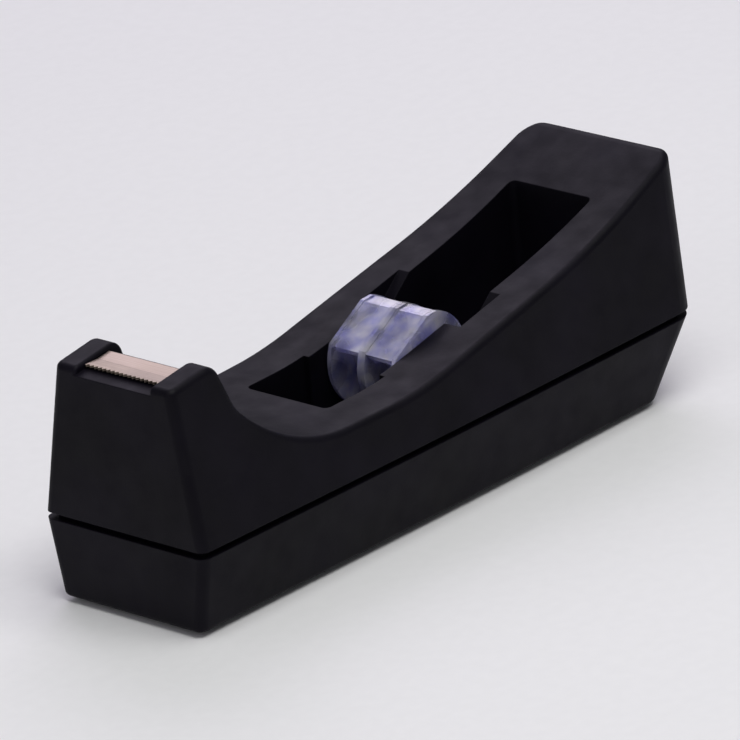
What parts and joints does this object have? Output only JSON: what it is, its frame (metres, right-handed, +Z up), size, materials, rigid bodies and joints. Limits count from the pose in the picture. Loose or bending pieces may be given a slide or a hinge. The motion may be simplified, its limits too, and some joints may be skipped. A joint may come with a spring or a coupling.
{
  "type": "tape dispenser",
  "caption": "Desk tape dispenser with a weighted low body, an open tape well with a lift-out spinning hub, and a toothed blade on a raised front tower.",
  "frame": {"origin": "middle of the footprint, on the desk surface", "axes": "+X from the blade end towards the rear, +Y to the left seen from the rear crest, +Z up"},
  "size_m": [0.1648, 0.0538, 0.0567],
  "materials": {
    "body": "fine moulded texture, charcoal",
    "blade": "brushed along its width",
    "hub": "clear, polished",
    "ballast": "as cast",
    "screws": "zinc plated",
    "pad": "matte foam rubber"
  },
  "bodies": {
    "housing": {"upper_housing": "body", "base_tray": "body", "cutter_blade": "blade", "ballast_front": "ballast", "ballast_left": "ballast", "ballast_right": "ballast", "housing_screws": "screws", "non_skid_pad": "pad"},
    "axle": {"hub_axle": "hub"},
    "hub": {"hub_half_left": "hub", "hub_half_right": "hub"}
  },
  "joints": [
    {"name": "hub_lift", "type": "slide", "parent": "housing", "child": "axle", "axis": [0.7771, 0, 0.6293], "range_m": [0, 0.05]},
    {"name": "hub_spin", "type": "hinge", "parent": "axle", "child": "hub", "pos_m": [0.0072, 0, 0.0278], "axis": [0, 1, 0], "continuous": true}
  ]
}
